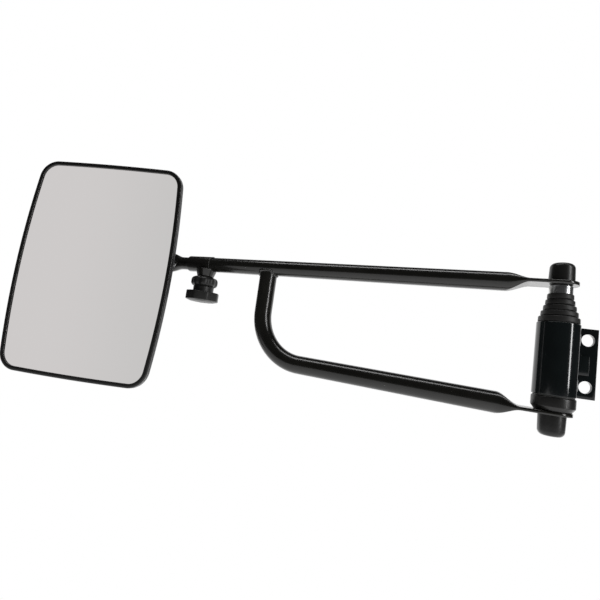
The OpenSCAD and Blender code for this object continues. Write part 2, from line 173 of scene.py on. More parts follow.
class Sheet:
    """One node tree, with the patterns that the finishes share."""

    def __init__(self, owner: Union[bpy.types.Material, bpy.types.World]) -> None:
        """Empties the tree of a material or of the room."""
        self.owner = owner
        owner.use_nodes = True
        self.tree = owner.node_tree
        self.tree.nodes.clear()

    def node(
        self,
        kind: str,
        settings: Mapping[str, object] | None = None,
        sockets: Mapping[Union[str, int], Value] | None = None,
    ) -> bpy.types.Node:
        """Adds a node of any type.

        Args:
            kind: the node's type.
            settings: its properties, set before its sockets.
            sockets: the value or the link of each input socket, by name or place.

        Returns:
            The new node.
        """
        made = self.tree.nodes.new(kind)
        for key, value in (settings or {}).items():
            setattr(made, key, value)
        for key, value in (sockets or {}).items():
            target = made.inputs[key]
            if isinstance(value, Signal):
                self.tree.links.new(value.socket, target)
            elif target.type == "RGBA":
                target.default_value = (*value, 1)
            else:
                target.default_value = value
        return made

    def place(self, stretch: RGB = (1, 1, 1)) -> Signal:
        """Gives the piece's own coordinates, stretched along its axes."""
        coordinates = self.node("ShaderNodeTexCoord").outputs["Object"]
        mapped = self.node(
            "ShaderNodeMapping", {}, {"Vector": Signal(self, coordinates), "Scale": stretch}
        )
        return Signal(self, mapped.outputs[0])

    def noise(self, place: Signal, scale: float, detail: float = 2.0) -> Signal:
        """Gives a cloudy pattern from 0 to 1, with scale in cycles a metre."""
        made = self.node(
            "ShaderNodeTexNoise", {}, {"Vector": place, "Scale": scale, "Detail": detail}
        )
        return Signal(self, made.outputs[0])

    def cells(self, place: Signal, scale: float) -> Signal:
        """Gives the distance to the middle of scattered cells."""
        made = self.node("ShaderNodeTexVoronoi", {}, {"Vector": place, "Scale": scale})
        return Signal(self, made.outputs["Distance"])

    def tint(self, amount: Signal, low: RGB, high: RGB) -> Signal:
        """Runs from one colour to another as the amount goes from 0 to 1."""
        made = self.node("ShaderNodeMix", {"data_type": "RGBA"}, {0: amount, 6: low, 7: high})
        return Signal(self, made.outputs[2])

    def bump(self, height: Signal, depth_mm: float, strength: float = 1.0) -> Signal:
        """Turns a height pattern into a surface normal."""
        made = self.node(
            "ShaderNodeBump", {}, {"Height": height, "Distance": depth_mm * MM, "Strength": strength}
        )
        return Signal(self, made.outputs[0])

    def surface(self, sockets: Mapping[str, Value]) -> bpy.types.Material:
        """Ends the tree in a Principled shader with the sockets given."""
        shader = self.node("ShaderNodeBsdfPrincipled", {}, sockets)
        self.node("ShaderNodeOutputMaterial", {}, {0: Signal(self, shader.outputs[0])})
        return self.owner

    def split(self, others: bpy.types.Node, camera: bpy.types.Node, output: str) -> None:
        """Ends the tree in one shader for the camera and another for every other ray."""
        seen = self.node("ShaderNodeLightPath").outputs["Is Camera Ray"]
        sources = (seen, others.outputs[0], camera.outputs[0])
        mix = self.node("ShaderNodeMixShader", {}, {i: Signal(self, out) for i, out in enumerate(sources)})
        self.node(output, {}, {0: Signal(self, mix.outputs[0])})


# ---- Finishes ----


def lighter(colour: RGB, factor: float) -> RGB:
    """Scales a colour."""
    return tuple(channel * factor for channel in colour)


@dataclass(frozen=True)
class Enamel:
    """Gloss paint over steel, with a faint peel and a few settled specks."""

    slot: str
    colour: RGB
    roughness: float
    peel_mm: float
    haze: float = 0.08

    def material(self) -> bpy.types.Material:
        """Builds the paint."""
        sheet = Sheet(bpy.data.materials.new(self.slot))
        place = sheet.place()
        cloud = sheet.noise(place, 23, 4)
        peel = sheet.noise(place, 240, 2)
        fine = sheet.noise(place, 1500, 1)
        speck = 1 - sheet.cells(place, 190).gate(0.03, 0.09)
        tone = sheet.tint(cloud.gate(0.3, 0.7), lighter(self.colour, 0.8), lighter(self.colour, 1.3))
        rough = self.roughness + (cloud - 0.5) * self.haze + speck * 0.12
        height = peel + fine * 0.12 + speck * 0.5
        return sheet.surface(
            {
                "Base Color": tone,
                "Roughness": rough,
                "Normal": sheet.bump(height, self.peel_mm),
                "Coat Weight": 0.1 + cloud * 0.15,
                "Coat Roughness": 0.05,
                "Specular IOR Level": 0.5,
            }
        )


@dataclass(frozen=True)
class Moulding:
    """Moulded plastic or rubber, with a spark-eroded grain and a slight bloom."""

    slot: str
    colour: RGB
    roughness: float
    grain_scale: float
    grain_mm: float
    bloom: float = 1.5
    sheen: float = 0.0

    def material(self) -> bpy.types.Material:
        """Builds the moulding."""
        sheet = Sheet(bpy.data.materials.new(self.slot))
        place = sheet.place()
        flow = sheet.noise(place, 31, 3)
        grain = sheet.noise(place, self.grain_scale, 3)
        pits = sheet.cells(place, self.grain_scale * 0.6)
        tone = sheet.tint(
            flow.gate(0.3, 0.75), lighter(self.colour, 0.85), lighter(self.colour, self.bloom)
        )
        rough = self.roughness + (flow - 0.5) * 0.14 + (grain - 0.5) * 0.1
        return sheet.surface(
            {
                "Base Color": tone,
                "Roughness": rough,
                "Normal": sheet.bump(grain + pits * 0.6, self.grain_mm, 0.9),
                "Sheen Weight": self.sheen,
                "Sheen Roughness": 0.4,
                "Specular IOR Level": 0.45,
            }
        )


@dataclass(frozen=True)
class Metal:
    """Bare or plated metal, brushed or turned along one stretch of its axes."""

    slot: str
    colour: RGB
    roughness: float
    stretch: RGB
    stain: RGB
    brush_mm: float = 0.004

    def material(self) -> bpy.types.Material:
        """Builds the metal."""
        sheet = Sheet(bpy.data.materials.new(self.slot))
        place = sheet.place()
        lines = sheet.noise(sheet.place(self.stretch), 900, 3)
        cloud = sheet.noise(place, 70, 4)
        tone = sheet.tint(cloud.gate(0.42, 0.8), self.colour, self.stain)
        rough = self.roughness + (lines - 0.5) * 0.16 + cloud.gate(0.5, 0.85) * 0.12
        return sheet.surface(
            {
                "Base Color": tone,
                "Metallic": 1.0,
                "Roughness": rough,
                "Normal": sheet.bump(lines, self.brush_mm),
            }
        )


@dataclass(frozen=True)
class Silvering:
    """Silvered glass, with a painted reflection: its colour runs a shade darker and greener towards one
    side, standing in for a reflected gradient.
    """

    slot: str
    colour: RGB
    painted_reflection_colour: RGB
    painted_reflection_span: Point2

    def material(self) -> bpy.types.Material:
        """Builds the mirror's face."""
        sheet = Sheet(bpy.data.materials.new(self.slot))
        place = sheet.place()
        split = sheet.node("ShaderNodeSeparateXYZ", {}, {0: place})
        # painted reflection: a mask across X that fades the glass's colour to a darker, greener tint
        across = Signal(sheet, split.outputs[0]).gate(*self.painted_reflection_span)
        wave = sheet.noise(place, 9, 1)
        haze = sheet.noise(place, 420, 4)
        tone = sheet.tint(across, self.colour, self.painted_reflection_colour)
        return sheet.surface(
            {
                "Base Color": tone,
                "Metallic": 1.0,
                "Roughness": 0.012 + haze.gate(0.55, 0.9) * 0.03,
                "Normal": sheet.bump(wave, 0.02),
            }
        )


@dataclass(frozen=True)
class Foam:
    """Closed-cell foam tape."""

    slot: str
    colour: RGB

    def material(self) -> bpy.types.Material:
        """Builds the foam."""
        sheet = Sheet(bpy.data.materials.new(self.slot))
        place = sheet.place()
        bubbles = sheet.cells(place, 1300)
        tone = sheet.tint(bubbles.gate(0.1, 0.6), lighter(self.colour, 0.6), lighter(self.colour, 1.4))
        return sheet.surface(
            {
                "Base Color": tone,
                "Roughness": 0.85 + bubbles * 0.1,
                "Normal": sheet.bump(bubbles, 0.25),
            }
        )


class Finish(Enum):
    """Every finish on the object; each fills the material slot that it names."""

    BRACKET = Enamel("bracket_paint", (0.005, 0.0072, 0.0076), 0.12, 0.0015)
    ARM = Enamel("arm_paint", (0.0085, 0.0082, 0.007), 0.22, 0.0012)
    ZINC = Metal("zinc_steel", (0.74, 0.75, 0.76), 0.24, (1, 1, 0.06), (0.6, 0.6, 0.57))
    SPRING = Metal("spring_steel", (0.4, 0.4, 0.41), 0.36, (0.2, 0.2, 1), (0.24, 0.22, 0.2))
    BRASS = Metal("brass", (0.68, 0.5, 0.24), 0.3, (0.1, 0.1, 1), (0.5, 0.36, 0.18))
    NYLON = Moulding("nylon", (0.05, 0.05, 0.048), 0.46, 900, 0.01, 1.08)
    CAP = Moulding("black_plastic", (0.009, 0.0088, 0.0084), 0.33, 1500, 0.012)
    KNOB = Moulding("knob_plastic", (0.013, 0.013, 0.0125), 0.42, 1300, 0.016)
    HOUSING = Moulding("housing_plastic", (0.018, 0.018, 0.019), 0.44, 1100, 0.03)
    RUBBER = Moulding("rubber", (0.011, 0.0108, 0.0102), 0.5, 1600, 0.012, 1.7, 0.05)
    RIM = Moulding("rim_rubber", (0.009, 0.0088, 0.0085), 0.28, 1800, 0.008)
    FOAM = Foam("foam", (0.05, 0.05, 0.05))
    # the second colour and the X span paint a reflection gradient into the glass's colour
    SILVER = Silvering("mirror", (0.96, 0.928, 0.92), (0.88, 0.865, 0.855), (-0.56, -0.4))


# ---- Outlines ----


def contour(corners: Sequence[Sequence[float]], closed: bool = True, steps: int = 6) -> list[Point2]:
    """Draws an outline through corners, some of them rounded.

    Args:
        corners: (radius, height) of each corner, with its fillet third where it has one.
        closed: whether the last corner joins the first.
        steps: how many chords a fillet has.

    Returns:
        The outline's points.
    """
    fillets = [corner[2] if len(corner) > 2 else 0.0 for corner in corners]
    count = len(corners)
    points: list[Point2] = []
    for i, corner in enumerate(corners):
        here = Vector(corner[:2])
        at_end = not closed and i in (0, count - 1)
        if fillets[i] <= 0 or at_end:
            points.append(tuple(here))
            continue
        behind = Vector(corners[i - 1][:2]) - here
        ahead = Vector(corners[(i + 1) % count][:2]) - here
        half = behind.angle(ahead) / 2
        room = [
            side.length * (0.5 if fillets[j % count] > 0 else 0.98)
            for side, j in ((behind, i - 1), (ahead, i + 1))
        ]
        reach = min(fillets[i] / math.tan(half), *room)
        radius = reach * math.tan(half)
        middle = behind.normalized() + ahead.normalized()
        centre = here + middle.normalized() * radius / math.sin(half)
        first = here + behind.normalized() * reach - centre
        last = here + ahead.normalized() * reach - centre
        start = math.atan2(first.y, first.x)
        sweep = (math.atan2(last.y, last.x) - start + math.pi) % FULL - math.pi
        points += arc((centre.x, centre.y), radius, start, start + sweep, steps)
    return points


def arc(centre: Point2, radius: float, start: float, end: float, steps: int) -> list[Point2]:
    """Gives the points of an arc, ends included, with its angles in radians."""
    return [
        (
            centre[0] + radius * math.cos(start + (end - start) * k / steps),
            centre[1] + radius * math.sin(start + (end - start) * k / steps),
        )
        for k in range(steps + 1)
    ]


def rod(radius: float, low: float, high: float) -> list[Point2]:
    """Gives half the section of a plain rod, open along its axis."""
    return [(0, low), (radius, low), (radius, high), (0, high)]


def sleeve(
    radii: Point2, heights: Point2, inside: float, outside: float, steps: int = 6
) -> list[Point2]:
    """Gives the section of a sleeve.

    Args:
        radii: its bore radius and its outer radius.
        heights: where it starts and ends.
        inside: the radius of its bore's edges.
        outside: the radius of its outer edges.
        steps: how many chords an edge has.

    Returns:
        The section's outline.
    """
    (bore, outer), (low, high) = radii, heights
    corners = [(bore, low, inside), (outer, low, outside), (outer, high, outside), (bore, high, inside)]
    return contour(corners, steps=steps)


def smooth_rows(rows: Sequence[Sequence[float]], steps: int) -> list[tuple[float, ...]]:
    """Runs a smooth curve through rows of numbers.

    Args:
        rows: the rows that the curve passes through.
        steps: how many rows each span gets.

    Returns:
        The finer rows, the first and the last unchanged.
    """
    fine: list[tuple[float, ...]] = []
    last = len(rows) - 1
    for i in range(last):
        before, here, there, beyond = (rows[min(max(i + k, 0), last)] for k in (-1, 0, 1, 2))
        for step in range(steps):
            t = step / steps
            fine.append(
                tuple(
                    0.5
                    * (
                        2 * b
                        + (c - a) * t
                        + (2 * a - 5 * b + 4 * c - d) * t * t
                        + (3 * b - a - 3 * c + d) * t**3
                    )
                    for a, b, c, d in zip(before, here, there, beyond)
                )
            )
    fine.append(tuple(rows[last]))
    return fine


def smoothstep(low: float, high: float, value: float) -> float:
    """Eases from 0 at low to 1 at high."""
    t = min(max((value - low) / (high - low), 0.0), 1.0)
    return t * t * (3 - 2 * t)


def polygon_radius(sides: int, across: float, turn: float, angle: float, corner: float) -> float:
    """Gives the radius of a regular polygon with eased corners.

    Args:
        sides: how many flats it has.
        across: the distance from the centre to a flat.
        turn: the angle of its first flat's middle.
        angle: the direction asked for.
        corner: the largest radius, where the corners are turned down.

    Returns:
        The radius in that direction.
    """
    sector = FULL / sides
    away = (angle - turn + sector / 2) % sector - sector / 2
    sharp = across / math.cos(away)
    power = 24
    return (sharp**-power + corner**-power) ** (-1 / power)


def hoop(radius: float, depth: float) -> Ring:
    """Gives a round ring square to Y."""
    return lambda angle: (radius * math.cos(angle), depth, radius * math.sin(angle))


def hexagon(across: float, corner: float, depth: float) -> Ring:
    """Gives a six-sided ring square to Y, from half its width and its corner radius."""
    return lambda angle: hoop(polygon_radius(6, across, QUARTER, angle, corner), depth)(angle)


def moved(place: Matrix, ring: Ring) -> Ring:
    """Carries a ring into a frame."""
    return lambda angle: place @ Vector(ring(angle))


# ---- Mesh making ----


class Axis(Enum):
    """The axis that a turned shape stands on."""

    X = Matrix.Rotation(QUARTER, 4, "Y")
    Y = Matrix.Rotation(-QUARTER, 4, "X")
    Z = Matrix.Identity(4)


class Form:
    """A piece in the making: a bmesh in millimetres in one of the object's frames."""

    def __init__(self, place: Matrix) -> None:
        """Starts an empty form in a frame."""
        self.place = place
        self.bm = bmesh.new()
        self.station = self.bm.verts.layers.int.new("station")

    def lathe(
        self, profile: Sequence[Point2], axis: Axis = Axis.Z, steps: int = 96, closed: bool = True
    ) -> "Form":
        """Turns a profile of (radius, height) points about an axis."""
        before = set(self.bm.verts)
        verts = [self.bm.verts.new((radius, 0, height)) for radius, height in profile]
        pairs = list(zip(verts, verts[1:])) + ([(verts[-1], verts[0])] if closed else [])
        edges = [self.bm.edges.new(pair) for pair in pairs]
        bmesh.ops.spin(
            self.bm,
            geom=verts + edges,
            cent=(0, 0, 0),
            axis=(0, 0, 1),
            angle=FULL,
            steps=steps,
            use_merge=True,
        )
        fresh = [v for v in self.bm.verts if v not in before]
        bmesh.ops.transform(self.bm, matrix=axis.value, verts=fresh)
        return self

    def loft(self, rings: Sequence[Ring], around: int = 96, loop: bool = False) -> "Form":
        """Draws a skin through closed rings.

        Args:
            rings: for each ring, the point at an angle.
            around: how many stations a ring has.
            loop: whether the last ring joins the first; otherwise both ends are filled.

        Returns:
            The form itself.
        """
        verts = bmesh.ops.create_circle(self.bm, segments=around, radius=1)["verts"]
        for vert in verts:
            vert[self.station] = round(math.atan2(vert.co.y, vert.co.x) / FULL * around) % around
        edges = list({edge for vert in verts for edge in vert.link_edges})
        self._shape(verts, rings[0], around)
        if not loop:
            bmesh.ops.contextual_create(self.bm, geom=edges)
        for ring in [*rings[1:], *([rings[0]] if loop else [])]:
            grown = bmesh.ops.extrude_edge_only(self.bm, edges=edges)["geom"]
            verts = [part for part in grown if isinstance(part, bmesh.types.BMVert)]
            made = set(verts)
            edges = [
                part
                for part in grown
                if isinstance(part, bmesh.types.BMEdge) and set(part.verts) <= made
            ]
            self._shape(verts, ring, around)
        if not loop:
            bmesh.ops.contextual_create(self.bm, geom=edges)
        return self

    def _shape(self, verts: Sequence[bmesh.types.BMVert], ring: Ring, around: int) -> None:
        """Moves one ring's vertices to where the ring says."""
        for vert in verts:
            vert.co = ring(FULL * vert[self.station] / around)

    def block(self, low: Sequence[float], high: Sequence[float]) -> "Form":
        """Adds a rectangular block between two corners."""
        middle = (Vector(low) + Vector(high)) / 2
        size = Vector(high) - Vector(low)
        place = Matrix.Translation(middle) @ Matrix.Diagonal((*size, 1))
        bmesh.ops.create_cube(self.bm, size=1, matrix=place)
        return self

    def prism(self, outline: Sequence[Point2], low: float, high: float) -> "Form":
        """Stands a flat outline up between two heights."""
        base = self.bm.faces.new([self.bm.verts.new((x, y, low)) for x, y in outline])
        grown = bmesh.ops.extrude_face_region(self.bm, geom=[base])["geom"]
        top = [part for part in grown if isinstance(part, bmesh.types.BMVert)]
        bmesh.ops.translate(self.bm, vec=(0, 0, high - low), verts=top)
        return self

    def tidy(self) -> "Form":
        """Merges doubles, drops what has no area and turns every face outwards."""
        bmesh.ops.remove_doubles(self.bm, verts=self.bm.verts, dist=2e-4)
        bmesh.ops.dissolve_degenerate(self.bm, edges=self.bm.edges, dist=1e-5)
        bmesh.ops.recalc_face_normals(self.bm, faces=self.bm.faces)
        return self

    def soften(self, width: float, over: float = 40, segments: int = 2) -> "Form":
        """Rounds every edge that turns by more than an angle in degrees."""
        self.tidy()
        limit = math.radians(over)
        sharp = [e for e in self.bm.edges if e.is_manifold and e.calc_face_angle(0) > limit]
        bmesh.ops.bevel(
            self.bm,
            geom=sharp,
            offset=width,
            offset_type="OFFSET",
            affect="EDGES",
            segments=segments,
            profile=0.5,
            material=-1,
            clamp_overlap=True,
        )
        return self

    def _loose(self, label: str) -> bpy.types.Object:
        """Makes a passing object of this form, in millimetres."""
        self.tidy()
        self.bm.transform(self.place)
        mesh = bpy.data.meshes.new(label)
        self.bm.to_mesh(mesh)
        self.bm.free()
        made = bpy.data.objects.new(label, mesh)
        bpy.context.scene.collection.objects.link(made)
        return made

    def cut(self, *cutters: "Form") -> "Form":
        """Takes the shapes of other forms out of this one."""
        body = self._loose("cut_body")
        tools = [cutter._loose("cut_tool") for cutter in cutters]
        for tool in tools:
            modifier = body.modifiers.new("cut", "BOOLEAN")
            modifier.operation = "DIFFERENCE"
            modifier.solver = "EXACT"
            modifier.object = tool
        graph = bpy.context.evaluated_depsgraph_get()
        mesh = bpy.data.meshes.new_from_object(body.evaluated_get(graph))
        self.bm = bmesh.new()
        self.bm.from_mesh(mesh)
        self.place = Matrix.Identity(4)
        for passing in (body, *tools):
            spent = passing.data
            bpy.data.objects.remove(passing)
            bpy.data.meshes.remove(spent)
        bpy.data.meshes.remove(mesh)
        return self

    def join(self, other: "Form") -> "Form":
        """Takes another form's surface into this one."""
        other.tidy()
        other.bm.transform(self.place.inverted() @ other.place)
        passing = bpy.data.meshes.new("join")
        other.bm.to_mesh(passing)
        other.bm.free()
        self.bm.from_mesh(passing)
        bpy.data.meshes.remove(passing)
        return self

    def mesh(self, name: str, crease: float) -> bpy.types.Mesh:
        """Ends the form as a mesh in metres, in place, smooth up to an angle in degrees."""
        self.tidy()
        self.bm.transform(Matrix.Scale(MM, 4) @ self.place)
        made = bpy.data.meshes.new(name)
        self.bm.to_mesh(made)
        self.bm.free()
        made.polygons.foreach_set("use_smooth", [True] * len(made.polygons))
        made.set_sharp_from_angle(angle=math.radians(crease))
        return made


class Bench:
    """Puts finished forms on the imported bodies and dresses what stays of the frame."""

    def __init__(self, packed: Mapping) -> None:
        """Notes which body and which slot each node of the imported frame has."""
        record = packed["record"]
        self.nodes = packed["nodes"]
        self.body_of = {
            node: body for body, nodes in record["behaviour"]["bodies"].items() for node in nodes
        }
        self.slot_of = {part["node"]: part["material_slot"] for part in record["subparts"]}
        self.materials = {finish.value.slot: finish.value.material() for finish in Finish}
        self.done: set[str] = set()

    def add(self, form: Form, name: str, node: str, crease: float = 38) -> bpy.types.Object:
        """Makes a form a visible piece that stands for one node of the frame.

        Args:
            form: the finished form.
            name: the piece's name.
            node: the node that it replaces, whose body and slot it takes.
            crease: the angle in degrees above which an edge is drawn sharp.

        Returns:
            The new object.
        """
        piece = bpy.data.objects.new(name, form.mesh(name, crease))
        bpy.context.scene.collection.objects.link(piece)
        slot = self.slot_of[node]
        piece.data.materials.append(self.materials[slot])
        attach(piece, self.body_of[node])
        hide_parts(node)
        self.done.add(node)
        LOG.info("%s stands for %s: %d faces", name, node, len(piece.data.polygons))
        return piece

    def dress_rest(self) -> None:
        """Gives each node that stays of the frame the finish of its slot."""
        for name, thing in self.nodes.items():
            if name in self.done:
                continue
            thing.data.materials.clear()
            thing.data.materials.append(self.materials[self.slot_of[name]])
            LOG.info("%s stays, in %s", name, self.slot_of[name])


# ---- Bracket ----


@dataclass(frozen=True)
class HingeBracket:
    """The upright hinge tube, its bolt plate and the two nylon bushes."""

    frames: Frames
    tube_r: float = 17.5
    wall: float = 3.0
    half_height: float = 31.5
    plate: float = 4.0
    reach: float = 38.0
    hole_r: float = 5.5
    hole_x: float = 29.5
    hole_z: float = 21.0
    web_r: float = 6.0
    bush_bore: float = 9.7
    pad: tuple[float, float, float, float] = (15, 31, -10.7, 6.6)
    pad_rise: float = 2.2
    plate_start: float = 9.0
    bush_depth: float = 18.0
    top_flange: Point2 = (15.65, 0.6)
    base_flange: Point2 = (16.4, 1.1)

    def build(self, bench: Bench) -> None:
        """Builds the bracket's pieces."""
        bench.add(self.tube(), "hinge_tube", "bracket_tube")
        bench.add(self.bolt_plate(), "bolt_plate", "mounting_plate", 30)
        bench.add(self.raised_pad(), "raised_pad", "plate_pad", 30)
        bench.add(self.web(), "weld_web", "plate_weld", 30)
        bench.add(self.bush(*self.top_flange, 1), "top_bush", "upper_bush")
        bench.add(self.bush(*self.base_flange, -1), "base_bush", "lower_bush")

    def tube(self) -> Form:
        """Turns the hinge tube with eased ends."""
        radii, high = (self.tube_r - self.wall, self.tube_r), self.half_height
        return Form(self.frames.pivot).lathe(sleeve(radii, (-high, high), 0.3, 0.6), steps=128)

    def bolt_plate(self) -> Form:
        """Cuts the plate from a block, with its two bolt holes."""
        back, front = self.tube_r, self.tube_r - self.plate
        plate = Form(self.frames.pivot)
        high = self.half_height
        plate.block((self.plate_start, front, -high), (self.reach, back, high))
        plate.soften(0.45, segments=3)
        cutters = []
        for side in (-1, 1):
            place = self.frames.pivot @ Matrix.Translation((self.hole_x, 0, side * self.hole_z))
            hole = rod(self.hole_r, front - 1, back + 1)
            cutters.append(Form(place).lathe(hole, Axis.Y, 64, closed=False))
        return plate.cut(*cutters)

    def raised_pad(self) -> Form:
        """Makes the pad that stands between the holes, with crisp pressed edges."""
        low_x, high_x, low_z, high_z = self.pad
        face = self.tube_r - self.plate
        pad = Form(self.frames.pivot)
        pad.block((low_x, face - self.pad_rise, low_z), (high_x, face, high_z))
        return pad.soften(0.35, segments=3)

    def web(self) -> Form:
        """Fills the corner between the tube and the plate with a hollow radius."""
        radius, face = self.web_r, self.tube_r - self.plate
        centre_y = face - radius
        centre_x = math.sqrt((self.tube_r + radius) ** 2 - centre_y**2)
        touch = math.atan2(-centre_y, -centre_x)
        hollow = arc((centre_x, centre_y), radius, touch + FULL, QUARTER, 14)
        inner = self.tube_r - 0.6
        start = math.atan2(centre_y, centre_x)
        end = math.acos(self.plate_start / inner)
        back = arc((0, 0), inner, end, start, 8)
        sunk = face + 0.3
        outline = [*hollow, (centre_x, sunk), (self.plate_start, sunk), *back]
        high = self.half_height - 0.25
        return Form(self.frames.pivot).prism(outline, -high, high)

    def bush(self, flange_r: float, flange: float, side: int) -> Form:
        """Turns a flanged bush for one end of the tube."""
        fit = self.tube_r - self.wall - 0.05
        base = self.half_height
        corners = [
            (self.bush_bore, base - self.bush_depth, 0.4),
            (fit, base - self.bush_depth, 0.4),
            (fit, base),
            (flange_r, base, 0.1),
            (flange_r, base + flange, 0.25),
            (self.bush_bore, base + flange, 0.25),
        ]
        return Form(self.frames.pivot).lathe([(r, side * h) for r, h in contour(corners)])


# ---- Hinge spindle ----


@dataclass(frozen=True)
class HingeSpindle:
    """What turns with the arm on the hinge: sleeve, gaiter, collar and caps."""

    frames: Frames
    bore: float = BOLT_R
    sleeve_r: float = 9.65
    sleeve_low: float = -32.6
    shim_low: float = 65.0
    shim_r: float = 8.75
    shim_t: float = 1.0
    ear_top: float = 69.0
    ear_low: float = -48.0
    boot_base: float = 32.3
    boot_step: float = 5.1
    boot_radii: tuple[float, ...] = (16.6, 14.9, 13.2, 11.8, 10.7)
    boot_wall: float = 1.5
    collar_r: float = 17.5
    cap_wall: float = 1.3
    top_cap: tuple[float, float, float] = (10.7, 17.3, 5.6)
    bottom_cap: tuple[float, float, float] = (11.2, 18.6, 5.8)
    lip: float = 0.9

    def build(self, bench: Bench) -> None:
        """Builds the spindle's pieces."""
        pivot = self.frames.pivot
        low, high = self.sleeve_low, self.shim_low
        bare = sleeve((self.bore, self.sleeve_r), (low, high), 0.3, 0.4)
        shim = sleeve((self.bore, self.shim_r), (high, high + self.shim_t), 0, 0.25)
        bench.add(Form(pivot).lathe(bare), "bare_sleeve", "spacer_sleeve")
        bench.add(Form(pivot).lathe(shim), "ear_shim", "sleeve_washer")
        bench.add(self.gaiter(), "stepped_gaiter", "rubber_boot", 50)
        bench.add(self.collar(), "hinge_collar", "wear_collar", 30)
        bench.add(self.cap(*self.top_cap, self.ear_top, 1), "bolt_cap", "top_cap")
        bench.add(self.cap(*self.bottom_cap, self.ear_low, -1), "nut_cap", "bottom_cap")

    def gaiter(self) -> Form:
        """Turns the gaiter: five rounded steps outside, a stepped hollow inside."""
        corners: list[tuple[float, ...]] = []
        last = len(self.boot_radii) - 1
        for i, radius in enumerate(self.boot_radii):
            low = self.boot_base + i * self.boot_step
            waist = radius - self.lip if i else radius
            corners += [(waist, low, 0.35), (radius, low + self.lip, 0.5)]
            corners += [(radius - 0.15, low + self.boot_step - 0.5, 0.9)]
            if i < last:
                corners += [(self.boot_radii[i + 1] - self.lip, low + self.boot_step - 0.15, 0.3)]
        top = self.boot_base + self.boot_step * (last + 1)
        neck = self.sleeve_r + 0.02
        corners += [(self.boot_radii[last] - 0.8, top, 0.5), (neck, top, 0.2)]
        for i in range(last, -1, -1):
            inner = neck if i == last else self.boot_radii[i] - self.boot_wall
            low = self.boot_base + i * self.boot_step
            corners += [(inner, low + self.boot_step - (0.6 if i == last else self.boot_wall + 0.2))]
            corners += [(inner, low - (0 if i == 0 else self.boot_wall))]
        return Form(self.frames.pivot).lathe(contour(corners, steps=4))

    def collar(self) -> Form:
        """Turns the black collar over the lower ear, chamfered below."""
        top, low = self.sleeve_low, self.ear_low + 3
        corners = [
            (self.bore, low),
            (self.collar_r - 3, low, 0.4),
            (self.collar_r, low + 4, 1.0),
            (self.collar_r, top, 1.1),
            (self.bore, top),
        ]
        return Form(self.frames.pivot).lathe(contour(corners), steps=128)

    def cap(self, radius: float, height: float, edge: float, base: float, side: int) -> Form:
        """Turns a thimble cap with a domed end.

        Args:
            radius: the cap's outside radius.
            height: its height over the ear.
            edge: the radius between its side and its end.
            base: the height of its open end.
            side: 1 to stand up, -1 to hang down.

        Returns:
            The cap's form.
        """
        wall, crown = self.cap_wall, 0.6
        outer = [
            (radius, 0.0, 0.3),
            (radius - 0.25, height * 0.5, 8.0),
            (radius - 0.6, height - crown, edge),
            (0.0, height),
        ]
        inner = [
            (0.0, height - wall),
            (radius - 0.6 - wall, height - crown - wall, edge - wall),
            (radius - wall, 0.0),
        ]
        made = Form(self.frames.pivot)
        for strand in (
            contour([(radius - wall, 0.0), *outer], False, 10),
            contour(inner, False, 8),
        ):
            made.lathe([(r, base + side * h) for r, h in strand], closed=False)
        return made


# ---- Arm ----


@dataclass(frozen=True)
class PressedEnd:
    """How a round tube's end is pressed flat, as rings along the tube."""

    radius: float
    half_thick: float
    half_width: float
    flat_to: float
    round_from: float

    def section(self, width: float, thick: float, press: float, angle: float) -> Point2:
        """Gives a point of the section, from round at press 0 to flat-sided at press 1."""
        cosine, sine = math.cos(angle), math.sin(angle)
        flat = max(-1.0, min(1.0, cosine / 0.5))
        lift = max(-1.0, min(1.0, sine / math.sin(math.pi / 3)))
        across = (width - thick) * flat + thick * cosine
        return across, thick * (sine + (lift - sine) * press)

    def ring(self, along: float) -> Callable[[float], Point2]:
        """Gives the section at a distance along the tube, negative over the round end."""
        ease = smoothstep(self.flat_to, self.round_from, along)
        thick = self.half_thick + (self.radius - self.half_thick) * ease
        share = (self.radius - thick) / (self.radius - self.half_thick)
        width = thick + (self.half_width - self.half_thick) * share
        press = share**0.35 if share > 0 else 0.0
        shrink = 1.0
        if along < 0:
            shrink = math.sqrt(max(1 - (along / self.half_width) ** 2, 0))

        def point(angle: float) -> Point2:
            """Gives the section's point at an angle."""
            across, up = self.section(width, thick, press, angle)
            return across * shrink, up

        return point

    def stations(self) -> list[float]:
        """Gives where the rings stand, from the tip to the round tube."""
        tip = [-self.half_width * math.cos(QUARTER * k / 14) for k in range(15)]
        span = self.round_from - self.flat_to
        press = [self.flat_to + span * k / 18 for k in range(19)]
        return [*tip, *press]


